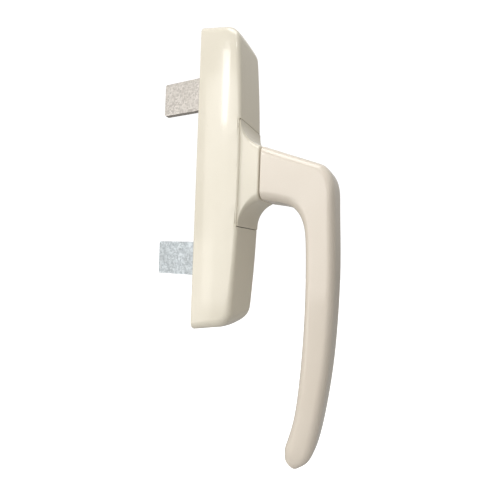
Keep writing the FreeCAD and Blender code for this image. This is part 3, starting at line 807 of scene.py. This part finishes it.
casingCoat = powderCoat(
    "casingCoat", shade(244, 239, 225), shade(241, 236, 221), 0.18, 900.0)
leverCoat = powderCoat(
    "leverCoat", shade(238, 230, 219), shade(235, 226, 214), 0.2, 850.0, (-0.05, -0.12))
upperTabZinc = galvanised(
    "upperTabZinc", shade(214, 210, 206), shade(180, 176, 172), shade(200, 196, 191), 1100.0, 0.42)
lowerTabZinc = galvanised(
    "lowerTabZinc", shade(198, 206, 212), shade(170, 178, 184), shade(186, 192, 196), 1100.0, 0.42)
plateZinc = galvanised(
    "plateZinc", shade(206, 208, 210), shade(168, 172, 176), shade(180, 180, 176), 200.0, 0.4)
rackZinc = galvanised(
    "rackZinc", shade(196, 198, 200), shade(158, 160, 164), shade(172, 170, 164), 300.0, 0.38)
screwZinc = machinedSteel(
    "screwZinc", shade(206, 205, 200), shade(170, 165, 140), 0.3, 3000.0, 3000.0)
groundSteel = machinedSteel(
    "groundSteel", shade(200, 201, 203), shade(150, 146, 140), 0.26)
turnedSteel = machinedSteel(
    "turnedSteel", shade(196, 196, 197), shade(148, 142, 134), 0.24, 260.0, 6400.0)
ballSteel = machinedSteel(
    "ballSteel", shade(214, 215, 217), shade(186, 184, 180), 0.12, 900.0, 900.0)
springSteel = machinedSteel(
    "springSteel", shade(122, 120, 116), shade(86, 78, 68), 0.34, 2600.0, 2600.0)
bushNylon = blackNylon("bushNylon")
print("materials made:", len(bpy.data.materials))


def finishPiece(piece, material, body, stands):
    piece.data.materials.clear()
    piece.data.materials.append(material)
    for face in piece.data.polygons:
        face.material_index = 0
    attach(piece, body)
    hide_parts(stands)
    print("piece finished:", piece.name, len(piece.data.polygons), "faces")


finishPiece(makeCasing(), casingCoat, "mechanism", "casing")
blockBehind = makeCore()  # copied before the neck hides the node
finishPiece(makeNeck(), casingCoat, "mechanism", "mechanism_body")
finishPiece(blockBehind, casingCoat, "mechanism", "mechanism_body")
finishPiece(makeLever(), leverCoat, "lever_set", "lever")
finishPiece(makeSpigot(), leverCoat, "lever_set", "lever")

cadMaterials = {
    "base_plate": plateZinc,
    "divider_plate": plateZinc,
    "upper_drive_tab": upperTabZinc,
    "lower_drive_tab": lowerTabZinc,
    "upper_rack": rackZinc,
    "lower_rack": rackZinc,
    "plate_screws": screwZinc,
    "divider_screws": screwZinc,
    "clip_rivets": screwZinc,
    "square_spindle": groundSteel,
    "spindle_pin": groundSteel,
    "index_disc": turnedSteel,
    "pinion": turnedSteel,
    "upper_detent_ball": ballSteel,
    "lower_detent_ball": ballSteel,
    "retaining_ring": springSteel,
    "spring_washer": springSteel,
    "upper_detent_spring": springSteel,
    "lower_detent_spring": springSteel,
    "upper_casing_clip": springSteel,
    "lower_casing_clip": springSteel,
    "lever_bush": bushNylon,
}
for nodeName, material in cadMaterials.items():
    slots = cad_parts[nodeName].material_slots
    for k in range(len(slots)):
        slots[k].material = material
print("carried-over nodes coated:", len(cadMaterials))


camera = {
    "spot": (-0.16694, -0.10444, -0.04224),
    "yaw": 24.73,
    "pitch": 1.30,
    "roll": 1.93,
    "lens": 24.30,
    "sensor": 36,
    "shiftY": -0.006,
    "sees": (0.01, 50),  # nearest and farthest, metres
}


def addCamera():
    yaw, pitch, roll = [math.radians(camera[name]) for name in ("yaw", "pitch", "roll")]
    ahead = Vector((
        math.cos(pitch) * math.cos(yaw), math.cos(pitch) * math.sin(yaw), math.sin(pitch)))
    right = ahead.cross(Vector((0, 0, 1))).normalized()
    up = right.cross(ahead)
    turnedRight = right * math.cos(roll) + up * math.sin(roll)
    turnedUp = up * math.cos(roll) - right * math.sin(roll)
    bpy.ops.object.camera_add()
    view = bpy.context.object
    turn = Matrix((turnedRight, turnedUp, -ahead)).transposed().to_4x4()
    view.matrix_world = Matrix.Translation(camera["spot"]) @ turn
    view.data.lens = camera["lens"]
    view.data.sensor_width = camera["sensor"]
    view.data.shift_y = camera["shiftY"]
    view.data.clip_start, view.data.clip_end = camera["sees"]
    bpy.context.scene.camera = view


floor = {
    "height": -0.32,
    "size": 8.0,
    "glow": 1.0,  # to the eye only
}


def addFloor():
    bpy.ops.mesh.primitive_plane_add(size=floor["size"], location=(0, 0, floor["height"]))
    ground = bpy.context.object
    ground.name = "paleFloor"
    material, nodes = newMaterial("paleFloor")
    cloud = nodes.noise(nodes.place(), 3.0, 2.0)
    colour = nodes.blend(cloud, (0.42, 0.42, 0.42, 1), (0.46, 0.46, 0.46, 1))
    rough = nodes.span(cloud, 0.0, 1.0, 0.85, 0.95)
    finishShader(nodes, colour, rough, cloud, (0.05, 0.1 * mm), 0.0,
                 {"Emission Color": (1, 1, 1, 1), "Specular IOR Level": 0.1})
    surface = [node for node in material.node_tree.nodes if node.type == "BSDF_PRINCIPLED"][0]
    rays = nodes.add("ShaderNodeLightPath")
    glow = nodes.times(rays.outputs["Is Camera Ray"], floor["glow"])
    nodes.join(glow, surface.inputs["Emission Strength"])
    ground.data.materials.append(material)


lamps = (  # name, spot, aims at, (width, height), watts, colour
    ("sideKey", (-0.82, 0.22, 0.14), (0, -0.01, -0.01), (0.70, 0.70), 2.6, (1.0, 0.985, 0.955)),
    ("topSoft", (-0.25, -0.10, 0.85), (0, -0.03, 0.0), (0.50, 0.50), 2.3, (1.0, 0.99, 0.97)),
    ("lowFill", (-0.45, 0.40, -0.16), (0, -0.065, -0.10), (0.30, 0.30), 0.38, (1.0, 0.97, 0.93)),
    ("streak", (-0.505, 0.20, 0.31), (-0.014, -0.017, 0.045), (0.05, 0.14), 0.16, (1, 1, 1)),
    ("glint", (-0.45, -0.25, 0.50), (0, -0.05, 0.0), (0.05, 0.05), 0.16, (1, 1, 1)),
    ("backRim", (0.60, 0.35, 0.30), (0, 0.0, 0.0), (0.50, 0.50), 0.4, (1, 1, 1)),
)


def addLamps():
    for name, spot, aim, size, watts, colour in lamps:
        turn = (Vector(spot) - Vector(aim)).to_track_quat("Z", "Y").to_euler()
        bpy.ops.object.light_add(type="AREA", location=spot, rotation=turn)
        lamp = bpy.context.object
        lamp.name = name
        lamp.data.energy = watts
        lamp.data.shape = "RECTANGLE"
        lamp.data.size, lamp.data.size_y = size
        lamp.data.color = colour


def addWorld():
    # white to the eye, and a soft grey room to the object
    world = bpy.data.worlds.new("studio")
    bpy.context.scene.world = world
    world.use_nodes = True
    world.node_tree.nodes.clear()
    nodes = Nodes(world.node_tree)
    rays = nodes.add("ShaderNodeLightPath")
    where = nodes.add("ShaderNodeTexCoord")
    split = nodes.add("ShaderNodeSeparateXYZ")
    nodes.join(where.outputs["Generated"], split.inputs["Vector"])
    upward = nodes.span(split.outputs["Z"], -0.6, 0.8, 0.02, 0.80)  # darker below
    roomward = nodes.span(split.outputs["Y"], -0.9, 0.3, 0.64, 1.0)  # and on the room's side
    room = nodes.add("ShaderNodeBackground")
    room.inputs["Color"].default_value = (1.0, 0.955, 0.88, 1)
    nodes.join(nodes.times(upward, roomward), room.inputs["Strength"])
    white = nodes.add("ShaderNodeBackground")
    white.inputs["Color"].default_value = (1, 1, 1, 1)
    white.inputs["Strength"].default_value = 1.1
    pickOne = nodes.add("ShaderNodeMixShader")
    nodes.join(rays.outputs["Is Camera Ray"], pickOne.inputs[0])
    nodes.join(room.outputs["Background"], pickOne.inputs[1])
    nodes.join(white.outputs["Background"], pickOne.inputs[2])
    out = nodes.add("ShaderNodeOutputWorld")
    nodes.join(pickOne.outputs["Shader"], out.inputs["Surface"])


addCamera()
addFloor()
addLamps()
addWorld()
bpy.context.scene.view_settings.view_transform = "Standard"
print("camera, floor and lamps set")
